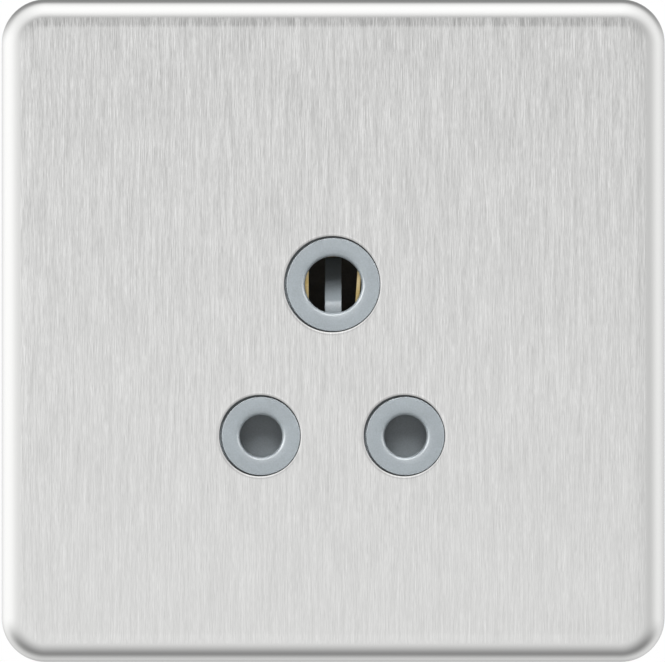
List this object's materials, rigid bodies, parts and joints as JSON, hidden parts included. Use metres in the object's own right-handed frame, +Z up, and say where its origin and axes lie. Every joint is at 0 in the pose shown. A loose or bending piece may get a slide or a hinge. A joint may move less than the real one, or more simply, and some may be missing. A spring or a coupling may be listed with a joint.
{
  "type": "round pin wall socket",
  "caption": "Square brushed metal wall socket with round pin holes in grey collars, a sprung shutter behind them and screw terminals at the back.",
  "frame": {"origin": "on the wall plane, midway between the two fixing holes", "axes": "+Y into the wall, so the front faces -Y; +Z up; +X to the right as seen from the front"},
  "size_m": [0.0878, 0.026, 0.0878],
  "materials": {
    "brushed_steel": "fine vertical brushing, chrome tone",
    "grey_plastic": "satin moulded",
    "black_plastic": "satin moulded",
    "brass": "plain",
    "spring_steel": "drawn wire",
    "zinc_steel": "zinc plated"
  },
  "bodies": {
    "housing": {"cover_plate": "brushed_steel", "base_frame": "black_plastic", "socket_front": "grey_plastic", "rear_body": "black_plastic", "shutter_spring": "spring_steel", "earth_contact": "brass", "live_contact": "brass", "neutral_contact": "brass", "earth_terminal": "brass", "live_terminal": "brass", "neutral_terminal": "brass", "earth_terminal_screw": "brass", "live_terminal_screw": "brass", "neutral_terminal_screw": "brass", "body_screws": "zinc_steel", "earth_strap": "brass"},
    "shutter": {"shutter": "grey_plastic"}
  },
  "joints": [
    {"name": "shutter_slide", "type": "slide", "parent": "housing", "child": "shutter", "axis": [0, 0, -1], "range_m": [0, 0.0072], "stiffness_N_per_m": 150, "springref_m": -0.003, "deforming": ["shutter_spring"]}
  ]
}
